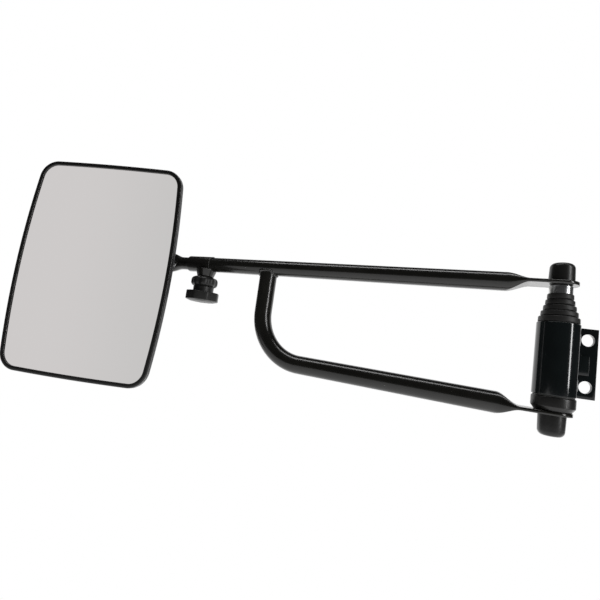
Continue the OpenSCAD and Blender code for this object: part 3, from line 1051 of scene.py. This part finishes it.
@dataclass(frozen=True)
class ArmTubes:
    """The fixed arm: two tubes with pressed ears, joined by a weld."""

    frames: Frames
    upper_r: float = 9.0
    upper_bore: float = 8.0
    upper_end: float = 412.0
    lower_r: float = 10.0
    lower_wall: float = 1.5
    upper_ear_z: float = 67.5
    lower_ear_z: float = -46.5
    rise: float = 0.03
    bend_r: float = 55.0
    branch_at: float = 298.0
    boss_low: float = 16.0
    saddle_start: float = 378.0
    stud_bore: float = 4.05
    ear_half: float = 1.5
    upper_ear: float = 14.14
    lower_ear: float = 15.7
    press: Point2 = (25.0, 46.0)
    leg: float = 2.1

    def build(self, bench: Bench) -> None:
        """Builds the arm's pieces."""
        bench.add(self.upper_tube(), "straight_tube", "upper_tube", 42)
        bench.add(self.lower_tube(), "bent_tube", "lower_tube", 42)
        bench.add(self.weld(), "branch_bead", "branch_weld", 60)
        bench.add(self.boss(), "clamp_saddle", "clamp_boss", 36)

    def bolt_cutter(self, height: float) -> Form:
        """Makes the drill for an ear's bolt hole."""
        hole = rod(BOLT_R, height - 6, height + 6)
        return Form(self.frames.pivot).lathe(hole, steps=48, closed=False)

    def upper_tube(self) -> Form:
        """Lofts the straight tube from its ear to its open end, and drills it."""
        end = PressedEnd(self.upper_r, self.ear_half, self.upper_ear, *self.press)
        axis = self.frames.axis_height

        def station(along: float) -> Ring:
            """Gives the outer ring at a distance along the arm."""
            section = end.ring(along)
            ear = self.upper_ear_z
            height = ear + (axis - ear) * smoothstep(*self.press, along)
            return lambda angle: (along, section(angle)[0], section(angle)[1] + height)

        def bore(along: float, radius: float) -> Ring:
            """Gives a round ring about the tube's axis."""
            return lambda angle: (
                along,
                radius * math.cos(angle),
                axis + radius * math.sin(angle),
            )

        rings = [station(along) for along in end.stations()]
        rings += [bore(along, self.upper_r) for along in (60, 120, 180, 240, 300, 360, 400)]
        lip = arc((self.upper_end - 0.4, self.upper_r - 0.4), 0.4, QUARTER, 0, 4)
        rings += [bore(x, r) for x, r in lip]
        rings += [bore(self.upper_end, self.upper_bore + 0.15)]
        rings += [bore(along, self.upper_bore) for along in (self.upper_end - 0.2, 330, 200, 48)]
        tube = Form(self.frames.arm).loft(rings, 72)
        drill = Form(self.frames.clamp).lathe(rod(self.stud_bore, -12, 0), steps=48, closed=False)
        return tube.cut(self.bolt_cutter(self.upper_ear_z), drill)

    def saddle_height(self, across: float) -> float:
        """Gives the height where the branch meets the upper tube, at a distance across."""
        return self.frames.axis_height - math.sqrt(max(self.upper_r**2 - across**2, 16))

    def path(self, radius: float, start: float) -> list[Ring]:
        """Gives rings of one radius along the lower tube, from a start to the saddle."""
        tilt = math.atan(self.rise)
        bend_x = self.branch_at - self.bend_r
        bend_start = bend_x + self.bend_r * math.sin(tilt)
        bend_z = self.lower_ear_z + self.rise * bend_start + self.bend_r * math.cos(tilt)

        def across_path(x: float, z: float, slope: float) -> Ring:
            """Gives the ring square to the path at a point."""
            return lambda angle: (
                x - radius * math.sin(angle) * math.sin(slope),
                radius * math.cos(angle),
                z + radius * math.sin(angle) * math.cos(slope),
            )

        rings = [
            across_path(x, self.lower_ear_z + self.rise * x, tilt)
            for x in (start, 90, 140, 190, 230)
        ]
        steps = 36
        for k in range(steps + 1):
            slope = tilt + (QUARTER - tilt) * k / steps
            x = bend_x + self.bend_r * math.sin(slope)
            z = bend_z - self.bend_r * math.cos(slope)
            rings.append(across_path(x, z, slope))
        rings += [across_path(self.branch_at, z, QUARTER) for z in (25, 40, 50)]
        rings.append(
            lambda angle: (
                self.branch_at - radius * math.sin(angle),
                radius * math.cos(angle),
                self.saddle_height(radius * math.cos(angle)),
            )
        )
        return rings

    def lower_tube(self) -> Form:
        """Lofts the bent tube from its ear through the bend to the saddle."""
        end = PressedEnd(self.lower_r, self.ear_half, self.lower_ear, *self.press)
        tilt = math.atan(self.rise)

        def station(along: float) -> Ring:
            """Gives the outer ring at a distance along the arm."""
            section = end.ring(along)
            ease = smoothstep(*self.press, along)
            height = self.lower_ear_z + self.rise * along * ease
            lean = math.sin(tilt) * ease

            def point(angle: float) -> Sequence[float]:
                """Gives the ring's point, leaning with the tube."""
                across, up = section(angle)
                return along - up * lean, across, height + up

            return point

        rings = [station(along) for along in end.stations()]
        rings += self.path(self.lower_r, 60)
        rings += list(reversed(self.path(self.lower_r - self.lower_wall, 48)))
        tube = Form(self.frames.arm).loft(rings, 72)
        return tube.cut(self.bolt_cutter(self.lower_ear_z))

    def weld(self) -> Form:
        """Runs a rippled bead round the saddle between the tubes."""

        def bead(turn: float) -> Ring:
            """Gives the ring round the branch at a place on the bead's section."""
            out, drop = math.cos(turn), math.sin(turn)

            def point(angle: float) -> Sequence[float]:
                """Gives the bead's point, swelling a little at each ripple."""
                ripple = 1 + 0.05 * math.sin(angle * 38) + 0.05 * math.sin(angle * 7 + 1)
                size = self.leg * ripple
                reach = self.lower_r - 0.3 + max(out, -0.3) * size
                across = reach * math.cos(angle)
                side = self.branch_at - reach * math.sin(angle)
                top = self.saddle_height(min(abs(across), self.upper_r - 0.6)) + 0.5
                return side, across, top - 0.3 - (drop + 0.25) * size * 0.8

            return point

        rings = [bead(FULL * k / 16) for k in range(16)]
        return Form(self.frames.arm).loft(rings, 228, loop=True)

    def boss(self) -> Form:
        """Wraps a thin saddle round the upper tube and drops the clamp's cone from it."""
        fit, skin = self.upper_r + 0.02, self.upper_r + 0.9
        low = -self.boss_low
        saddle = sleeve((fit, skin), (self.saddle_start, self.upper_end), 0.2, 0.45)
        cone = [
            (self.stud_bore, low, 0.2),
            (10.0, low, 0.8),
            (13.0, -6.4, 0.6),
            (11.0, -5.6),
            (self.stud_bore, -5.6),
        ]
        boss = Form(self.frames.clamp).lathe(contour(cone))
        boss.cut(Form(self.frames.clamp).lathe(rod(fit, -60, 60), Axis.X, closed=False))
        return boss.join(Form(self.frames.tube).lathe(saddle, Axis.X))


# ---- Clamp ----


@dataclass(frozen=True)
class ClampKnob:
    """The clamp's stud, its fluted grip ring and its eight-sided knob."""

    frames: Frames
    bore: float = 3.98
    ring_high: float = -16.6
    ring_low: float = -28.5
    ring_r: float = 16.2
    neck_r: float = 12.5
    neck_low: float = -35.0
    head_low: float = -46.0
    dome: float = 2.6
    flat: float = 19.8
    corner: float = 20.9
    turn: float = math.radians(8)

    def build(self, bench: Bench) -> None:
        """Builds the clamp's pieces."""
        bench.add(self.stud(), "threaded_stud", "clamp_stud", 25)
        bench.add(self.grip(), "grip_ring", "lock_ring", 50)
        bench.add(self.knob(), "eight_sided_knob", "clamp_knob", 34)

    def stud(self) -> Form:
        """Turns the stud, with its thread as fine grooves."""
        top, low = -12.0, -40.0
        profile: list[Point2] = [(0, low), (self.bore - 0.5, low)]
        count = int((top - low - 1) / THREAD_PITCH)
        for k in range(count):
            base = low + 0.5 + k * THREAD_PITCH
            profile += [(self.bore, base), (self.bore, base + 0.2), (self.bore - 0.6, base + 0.7)]
        profile += [(self.bore - 0.5, top), (0, top)]
        return Form(self.frames.clamp).lathe(profile, steps=48, closed=False)

    def grip(self) -> Form:
        """Lofts the grip ring, its rounded rim pressed in by eight shallow flutes."""
        edge, bore = 4.6, self.bore + 0.04
        rim = sleeve((bore, self.ring_r), (self.ring_high, self.ring_low), 0.3, edge, 9)

        def ring(radius: float, height: float) -> Ring:
            """Gives the ring at a place on the section, with its flutes."""
            depth = 1.25 * smoothstep(self.ring_r - edge - 1, self.ring_r, radius)

            def point(angle: float) -> Sequence[float]:
                """Gives the ring's point."""
                swing = 0.5 + 0.5 * math.cos(8 * (angle - math.radians(10)))
                out = radius - depth * swing**2.2
                return out * math.cos(angle), out * math.sin(angle), height

            return point

        rings = [ring(radius, height) for radius, height in rim]
        return Form(self.frames.clamp).loft(rings, 160, loop=True)

    def knob(self) -> Form:
        """Lofts the knob: a round neck, eight flats and a domed underside."""
        low = self.head_low

        def ring(radius: float, height: float) -> Ring:
            """Gives a ring that is round at the neck and eight-sided at the rim."""
            share = smoothstep(self.neck_r + 0.4, self.flat - 0.8, radius)

            def point(angle: float) -> Sequence[float]:
                """Gives the ring's point."""
                flats = polygon_radius(8, self.flat, self.turn + math.pi / 8, angle, self.corner)
                out = radius * (1 + (flats / self.flat - 1) * share)
                return out * math.cos(angle), out * math.sin(angle), height

            return point

        outline = contour(
            [
                (0.0, self.ring_low),
                (self.neck_r, self.ring_low, 0.4),
                (self.neck_r, self.neck_low + 0.2, 0.7),
                (self.flat, self.neck_low - 0.3, 0.9),
                (self.flat, low + 0.4, 1.1),
                (self.flat * 0.72, low - self.dome * 0.55, 9.0),
                (0.0, low - self.dome),
            ],
            closed=False,
            steps=7,
        )
        return Form(self.frames.clamp).loft([ring(r, h) for r, h in outline], 192)


# ---- Sliding tube ----


@dataclass(frozen=True)
class SlidingTube:
    """The inner tube with its flattened end, and the ball stud fixed through it."""

    frames: Frames
    radius: float = 7.95
    bore: float = 6.75
    start: float = 272.0
    press_from: float = 424.0
    press_to: float = 444.0
    stud_at: float = 500.0
    stud_reach: float = 28.0
    stud_r: float = 4.0
    ball_r: float = 11.0
    tip_half: float = 1.5
    tip_half_width: float = 12.45
    hex_half: float = 6.5
    thread_r: float = 3.98

    def build(self, bench: Bench) -> None:
        """Builds the slider's pieces."""
        bench.add(self.tube(), "sliding_tube", "inner_tube", 42)
        bench.add(self.stud(), "ball_ended_stud", "ball_stud", 32)
        bench.add(self.nut(), "stud_locknut", "stud_nut", 32)
        bench.add(self.washers(), "stud_washer_pair", "stud_washers", 32)

    def at_stud(self) -> Matrix:
        """Gives the frame at the stud's hole."""
        return self.frames.tube @ Matrix.Translation((self.stud_at, 0, 0))

    def tube(self) -> Form:
        """Lofts the tube back from its flattened tip to its open inner end."""
        flat_to, round_from = self.stud_at - self.press_to, self.stud_at - self.press_from
        end = PressedEnd(self.radius, self.tip_half, self.tip_half_width, flat_to, round_from)

        def station(along: float) -> Ring:
            """Gives the outer ring at a distance back from the stud."""
            section = end.ring(along)

            def point(angle: float) -> Sequence[float]:
                """Gives the ring's point, wide up and down."""
                across, thick = section(angle)
                return self.stud_at - along, thick, across

            return point

        def round_ring(x: float, radius: float) -> Ring:
            """Gives a round ring about the tube's axis."""
            return lambda a: (x, radius * math.sin(a), radius * math.cos(a))

        rings = [station(along) for along in end.stations()]
        rings += [round_ring(x, self.radius) for x in (420, 380, 330, self.start + 0.3)]
        rings += [round_ring(self.start, self.radius - 0.3)]
        rings += [round_ring(x, self.bore) for x in (self.start, 330, 380, 427)]
        hole = rod(self.stud_r, -4, 4)
        drill = Form(self.at_stud()).lathe(hole, Axis.Y, 48, closed=False)
        return Form(self.frames.tube).loft(rings, 72).cut(drill)

    def stud(self) -> Form:
        """Lofts the stud: thread, hexagon, neck and ball."""
        rim = self.thread_r
        rows = [(0.01, -14.0), (3.2, -14.0)]
        for k in range(9):
            base = -13.6 + k * THREAD_PITCH
            rows += [(rim, base), (rim, base + 0.2), (3.45, base + 0.7)]
        rows += [(rim, -2.2), (rim, 1.5)]
        rings = [hoop(*row) for row in rows]
        chamfers = ((7.0, 1.5), (7.5, 1.9), (7.5, 7.6), (7.0, 8.0))
        rings += [hexagon(self.hex_half, corner, depth) for corner, depth in chamfers]
        rings += [hoop(4.1, 8.0), hoop(3.5, 8.8)]
        neck = math.asin(3.5 / self.ball_r)
        steps = 28
        for k in range(steps + 1):
            polar = neck + (math.pi - neck) * k / steps
            radius = max(self.ball_r * math.sin(polar), 0.0)
            rings.append(hoop(radius, self.stud_reach - self.ball_r * math.cos(polar)))
        return Form(self.at_stud()).loft(rings, 72)

    def nut(self) -> Form:
        """Lofts the locknut with chamfered corners and a bore."""
        low, high = -11.9, -5.1
        rings = [
            hoop(self.stud_r, low + 0.4),
            hoop(self.stud_r + 0.5, low),
            hexagon(self.hex_half, 6.6, low),
            hexagon(self.hex_half, 7.5, low + 0.8),
            hexagon(self.hex_half, 7.5, high - 0.3),
            hexagon(self.hex_half - 0.2, 7.2, high),
            hoop(self.stud_r, high),
        ]
        return Form(self.at_stud()).loft(rings, 72, loop=True)

    def washers(self) -> Form:
        """Turns the flat washer and the lock washer."""
        made = Form(self.at_stud())
        for radius, low, high in ((8.0, -3.1, -1.5), (6.8, -5.1, -3.12)):
            section = sleeve((self.stud_r + 0.02, radius), (low, high), 0.15, 0.25, 3)
            made.lathe(section, Axis.Y)
        return made


# ---- Mirror head ----


@dataclass(frozen=True)
class Outline:
    """The head's outline: four bowed edges joined by corner arcs."""

    half_w: float = 96.5
    half_h: float = 128.0
    side_bow: float = 7.8
    end_bow: float = 1.7
    corner: float = 22.0

    def point(self, turn: float, inset: float) -> Point2:
        """Gives the outline's point at a share of the way round.

        Args:
            turn: the share of a full turn, from 0 to 1.
            inset: how far inside the true outline the point lies.

        Returns:
            Its place across and up, from the outline's middle.
        """
        side_r = (self.half_h**2 + self.side_bow**2) / (2 * self.side_bow)
        end_r = (self.half_w**2 + self.end_bow**2) / (2 * self.end_bow)
        side_c, end_c = side_r - self.half_w, end_r - self.half_h
        gap = math.hypot(side_c, end_c)
        near, far = side_r - self.corner, end_r - self.corner
        foot = (near**2 - far**2 + gap**2) / (2 * gap)
        lift = math.sqrt(near**2 - foot**2)
        x = -side_c + (foot * side_c + lift * end_c) / gap
        z = (lift * side_c - foot * end_c) / gap
        side_a = math.atan2(z, x + side_c)
        end_a = math.atan2(z + end_c, x)
        spans = (
            (0.17, (-side_c, 0.0), side_r, -side_a, side_a),
            (0.11, (x, z), self.corner, side_a, end_a),
            (0.11, (0.0, -end_c), end_r, end_a, math.pi - end_a),
            (0.11, (-x, z), self.corner, math.pi - end_a, math.pi - side_a),
        )
        turn %= 1.0
        sign, rest = (1, turn) if turn < 0.5 else (-1, turn - 0.5)
        for share, centre, radius, start, end in spans:
            if rest <= share:
                angle = start + (end - start) * rest / share
                reach = radius - inset
                return (
                    sign * (centre[0] + reach * math.cos(angle)),
                    sign * (centre[1] + reach * math.sin(angle)),
                )
            rest -= share
        return sign * -x, sign * z


@dataclass(frozen=True)
class MirrorHead:
    """The head: housing, glass, rim bead and the ball socket behind."""

    frames: Frames
    outline: Outline = Outline()
    drop: float = 31.8
    face: float = 62.0
    wall: float = 2.5
    back: float = 12.0
    socket_r: float = 24.0
    seat_r: float = 13.5
    ring_t: float = 9.0
    screw_circle: float = 19.0
    around: int = 300
    pocket: Point2 = (18.0, 19.0)
    glass_t: float = 3.0
    glass_inset: float = 3.3
    bead_lap: float = 5.0

    def build(self, bench: Bench) -> None:
        """Builds the head's pieces."""
        bench.add(self.housing(), "head_housing", "housing", 40)
        bench.add(self.glass(), GLASS_PIECE, "mirror_glass", 25)
        bench.add(self.bead(), "rim_bead", "rim_seal", 50)
        bench.add(self.clamp_ring(), "socket_clamp_ring", "socket_ring", 30)
        bench.add(self.screws(), "socket_screw_set", "socket_screws", 30)
        bench.add(self.seat(), "nylon_ball_seat", "ball_seat", 30)

    def rim(self, inset: float, depth: float) -> Ring:
        """Gives the outline as a ring at a depth, a true distance inside the rim."""

        def point(angle: float) -> Sequence[float]:
            """Gives the ring's point."""
            across, up = self.outline.point(angle / FULL, inset)
            return across, depth, up - self.drop

        return point

    def dome(self, depth: float, wide: float, tall: float) -> Ring:
        """Gives the outline scaled down, for the dome behind the rim."""

        def point(angle: float) -> Sequence[float]:
            """Gives the ring's point."""
            across, up = self.outline.point(angle / FULL, 0)
            return across * wide, depth, up * tall - self.drop

        return point

    def round_ring(self, radius: float, depth: float) -> Ring:
        """Gives a round ring about the ball, with stations facing the outline's."""

        def point(angle: float) -> Sequence[float]:
            """Gives the ring's point."""
            across, up = self.outline.point(angle / FULL, 0)
            facing = math.atan2(up - self.drop, across)
            return radius * math.cos(facing), depth, radius * math.sin(facing)

        return point

    def dome_rows(self, inset: float) -> list[tuple[float, ...]]:
        """Gives the dome's depths and scales, from the back to the rim."""
        face = self.face
        rows = [
            (self.back, 0.5, 0.61),
            (self.back + 1.1, 0.57, 0.665),
            (self.back + 4, 0.64, 0.72),
            (face - 34, 0.78, 0.83),
            (face - 18, 0.93, 0.945),
            (face - 11, 0.972, 0.977),
            (face - 5, 1.0, 1.0),
        ]
        if inset:
            wide, tall = inset / self.outline.half_w, inset / self.outline.half_h
            rows = [(y + inset / 2, a - wide, b - tall) for y, a, b in rows[:-1]]
        return smooth_rows(rows, 5)

    def housing(self) -> Form:
        """Lofts the housing from the ball's hollow round the rim and back inside."""
        hollow = self.seat_r + 0.05
        rings: list[Ring] = []
        for k in range(13):
            polar = QUARTER * k / 12
            rings.append(self.round_ring(hollow * math.sin(polar), hollow * math.cos(polar)))
        radius = self.socket_r
        side = [
            (hollow + 0.3, 0.0),
            (radius, 0.0, 0.6),
            (radius + 0.2, self.back - 0.1, 3.2),
            (radius + 6, self.back),
        ]
        rings += [self.round_ring(r, y) for r, y in contour(side, closed=False)]
        rings += [self.dome(*row) for row in self.dome_rows(0)]
        front, ledge = self.face - 2, self.face - 6
        lip = arc((0.5, front - 0.5), 0.5, math.pi, QUARTER, 4)
        rings += [self.rim(inset, depth) for inset, depth in lip]
        rings += [self.rim(self.wall, front), self.rim(self.wall, ledge)]
        rings += [self.rim(2 * self.wall, ledge), self.rim(2 * self.wall, ledge - 2)]
        rings += [self.dome(*row) for row in reversed(self.dome_rows(2 * self.wall))]
        wide, floor = self.pocket
        rings += [self.round_ring(wide, self.back + self.wall), self.round_ring(wide, floor - 0.4)]
        rings += [self.round_ring(wide - 0.4, floor), self.round_ring(0, floor)]
        return Form(self.frames.head).loft(rings, self.around)

    def glass(self) -> Form:
        """Lofts the glass with ground edges."""
        back, face, inset = self.face - self.glass_t, self.face, self.glass_inset
        rings = [
            self.rim(inset + 0.3, back),
            self.rim(inset, back + 0.3),
            self.rim(inset, face - 0.3),
            self.rim(inset + 0.3, face),
        ]
        return Form(self.frames.head).loft(rings, self.around)

    def bead(self) -> Form:
        """Lofts the rubber bead that wraps the front edge and laps over the glass."""
        low, high, face = self.face - 2, self.face + 1.5, self.face
        corners = [
            (0.0, low, 0.2),
            (0.0, high, 1.9),
            (self.bead_lap, high, 1.3),
            (self.bead_lap, face + 0.02, 0.1),
            (3.25, face + 0.02),
            (3.25, low),
        ]
        rings = [self.rim(inset, depth) for inset, depth in contour(corners, steps=6)]
        return Form(self.frames.head).loft(rings, self.around, loop=True)

    def clamp_ring(self) -> Form:
        """Turns the rear half of the socket and countersinks its screw holes."""
        hollow, back = self.seat_r + 0.05, -self.ring_t
        radius = self.socket_r
        corners = [(hollow + 0.3, 0.0), (radius, 0.0, 0.3), (radius, back, 1.6), (12.6, back, 0.6)]
        outer = contour(corners, closed=False)
        mouth = -7.9
        start = math.atan2(mouth, math.sqrt(hollow**2 - mouth**2))
        profile = [*outer, *arc((0, 0), hollow, start, 0, 10)]
        ring = Form(self.frames.head).lathe(profile, Axis.Y, 128)
        drills = []
        for place in self.screw_places():
            hole = [(0, back - 0.5), (4.75, back - 0.5), (2.1, back + 2.1), (2.1, 1), (0, 1)]
            drills.append(Form(place).lathe(hole, Axis.Y, 32, closed=False))
        return ring.cut(*drills)

    def screw_places(self) -> list[Matrix]:
        """Gives the four screws' frames, with Y along each screw."""
        return [
            self.frames.head
            @ Matrix.Rotation(QUARTER * (k + 0.5), 4, "Y")
            @ Matrix.Translation((self.screw_circle, 0, 0))
            for k in range(4)
        ]

    def screws(self) -> Form:
        """Lofts four countersunk screws with hexagon recesses."""
        back = -self.ring_t
        head = [(1.95, back), (3.7, back), (4.0, back + 0.25), (1.95, back + 2.1)]
        rings = [hexagon(1.5, 1.75, back + depth) for depth in (1.6, 0.1)]
        rings += [hoop(*row) for row in (*head, (1.95, 9.2), (1.6, 9.5))]
        form = Form(Matrix.Identity(4))
        for place in self.screw_places():
            form.loft([moved(place, ring) for ring in rings], 36)
        return form

    def seat(self) -> Form:
        """Turns the nylon ring that the ball turns in."""
        outer, inner, low, high = self.seat_r, 11.05, -6.0, 8.0
        profile = arc((0, 0), outer, math.asin(low / outer), math.asin(high / outer), 14)
        profile += arc((0, 0), inner, math.asin(high / inner), math.asin(low / inner), 14)
        return Form(self.frames.head).lathe(profile, Axis.Y)


# ---- Studio ----


@dataclass(frozen=True)
class Studio:
    """A pale floor, soft light and the camera."""

    frames: Frames
    eye: tuple[float, float, float] = (-0.16816, -0.4512, -0.02194)
    yaw: float = 0.221
    pitch: float = 0.109
    roll: float = 0.137
    lens: float = 26.77
    floor_z: float = -1.1
    floor_glow: float = 0.75
    room_glow: float = 0.03
    card_away: float = 2.2
    card_side: float = 12.0
    card_watts: float = 275.0

    def build(self) -> None:
        """Builds the floor, the light and the camera."""
        self.floor()
        self.backdrop()
        self.camera()
        self.lamp("overhead", (-0.3, -0.1, 1.5), (-0.3, 0.0, 0.0), (1.9, 0.24), 9)
        self.lamp("side_strip", (1.3, -0.9, 0.5), (-0.1, 0.0, 0.0), (0.2, 1.4), 13)
        self.lamp("backdrop", (-0.3, 1.7, 0.2), (-0.3, 0.0, 0.2), (4.5, 2.6), 36)
        self.reflected_card()
        scene = bpy.context.scene
        scene.view_settings.view_transform = "Standard"

    def floor(self) -> None:
        """Lays the floor far below the arm."""
        bm = bmesh.new()
        place = Matrix.Translation((-0.3, 0.0, self.floor_z))
        bmesh.ops.create_grid(bm, x_segments=8, y_segments=8, size=6, matrix=place)
        mesh = bpy.data.meshes.new("floor")
        bm.to_mesh(mesh)
        bm.free()
        floor = bpy.data.objects.new("floor", mesh)
        bpy.context.scene.collection.objects.link(floor)
        sheet = Sheet(bpy.data.materials.new("floor"))
        cloud = sheet.noise(sheet.place(), 3)
        sockets = {
            "Base Color": sheet.tint(cloud, (0.8, 0.8, 0.8), (0.82, 0.82, 0.82)),
            "Roughness": 0.9,
            "Emission Color": WHITE,
            "Emission Strength": self.floor_glow,
        }
        dull = sheet.node("ShaderNodeBsdfPrincipled", {}, sockets)
        white = sheet.node("ShaderNodeEmission", {}, {"Color": WHITE, "Strength": 1.0})
        sheet.split(dull, white, "ShaderNodeOutputMaterial")
        mesh.materials.append(sheet.owner)

    def backdrop(self) -> None:
        """Makes the room white to the eye and dimmer in reflections."""
        sheet = Sheet(bpy.data.worlds.new("room"))
        soft, white = (
            sheet.node("ShaderNodeBackground", {}, {"Color": WHITE, "Strength": glow})
            for glow in (self.room_glow, 1.0)
        )
        sheet.split(soft, white, "ShaderNodeOutputWorld")
        bpy.context.scene.world = sheet.owner

    def camera(self) -> None:
        """Sets the camera up at the object's display angle."""
        level = Vector((math.cos(self.yaw), math.sin(self.yaw), 0))
        ahead = Vector((-math.sin(self.yaw), math.cos(self.yaw), 0))
        look = ahead * math.cos(self.pitch) + UP * math.sin(self.pitch)
        top = UP * math.cos(self.pitch) - ahead * math.sin(self.pitch)
        right = level * math.cos(self.roll) + top * math.sin(self.roll)
        above = top * math.cos(self.roll) - level * math.sin(self.roll)
        data = bpy.data.cameras.new("eye")
        data.lens = self.lens
        data.sensor_width = 36
        data.clip_start = 0.01
        camera = bpy.data.objects.new("eye", data)
        turn = Matrix((right, above, -look)).transposed().to_4x4()
        camera.matrix_world = Matrix.Translation(self.eye) @ turn
        bpy.context.scene.collection.objects.link(camera)
        bpy.context.scene.camera = camera

    def lamp(
        self,
        name: str,
        place: Sequence[float],
        target: Sequence[float],
        size: Point2,
        watts: float,
    ) -> bpy.types.Object:
        """Hangs a soft rectangular lamp that faces a point.

        Args:
            name: the lamp's name.
            place: where it hangs.
            target: the point that it faces.
            size: its width and height in metres.
            watts: its power.

        Returns:
            The lamp.
        """
        data = bpy.data.lights.new(name, "AREA")
        data.shape = "RECTANGLE"
        data.size, data.size_y = size
        data.energy = watts
        lamp = bpy.data.objects.new(name, data)
        lamp.location = place
        lamp.visible_camera = False
        away = Vector(place) - Vector(target)
        lamp.rotation_euler = away.to_track_quat("Z", "Y").to_euler()
        bpy.context.scene.collection.objects.link(lamp)
        return lamp

    def reflected_card(self) -> None:
        """Hangs the wide card that lights the glass alone and fills its reflection."""
        middle = self.frames.head @ Vector((0, 62, -31)) * MM
        facing = (self.frames.head.to_3x3() @ Vector((0, 1, 0))).normalized()
        look = (middle - Vector(self.eye)).normalized()
        bounce = look - facing * 2 * look.dot(facing)
        place, size = middle + bounce * self.card_away, (self.card_side, self.card_side)
        lamp = self.lamp("card", place, middle, size, self.card_watts)
        receivers = bpy.data.collections.new("card_receivers")
        for piece in bpy.context.scene.objects:
            if piece.name.startswith(GLASS_PIECE):
                receivers.objects.link(piece)
        if not receivers.objects:
            raise RuntimeError("the card has no glass to light")
        lamp.light_linking.receiver_collection = receivers


# ---- The whole ----


def main() -> None:
    """Builds the mirror, dresses the rest of the frame and sets the studio."""
    logging.basicConfig(level=logging.INFO, format="%(name)s: %(message)s")
    frames = Frames(frame["joints"])
    bench = Bench(frame)
    for assembly in (HingeBracket, HingeSpindle, ArmTubes, ClampKnob, SlidingTube, MirrorHead):
        LOG.info("building %s", assembly.__name__)
        assembly(frames).build(bench)
    bench.dress_rest()
    Studio(frames).build()


if __name__ == "__main__":
    main()
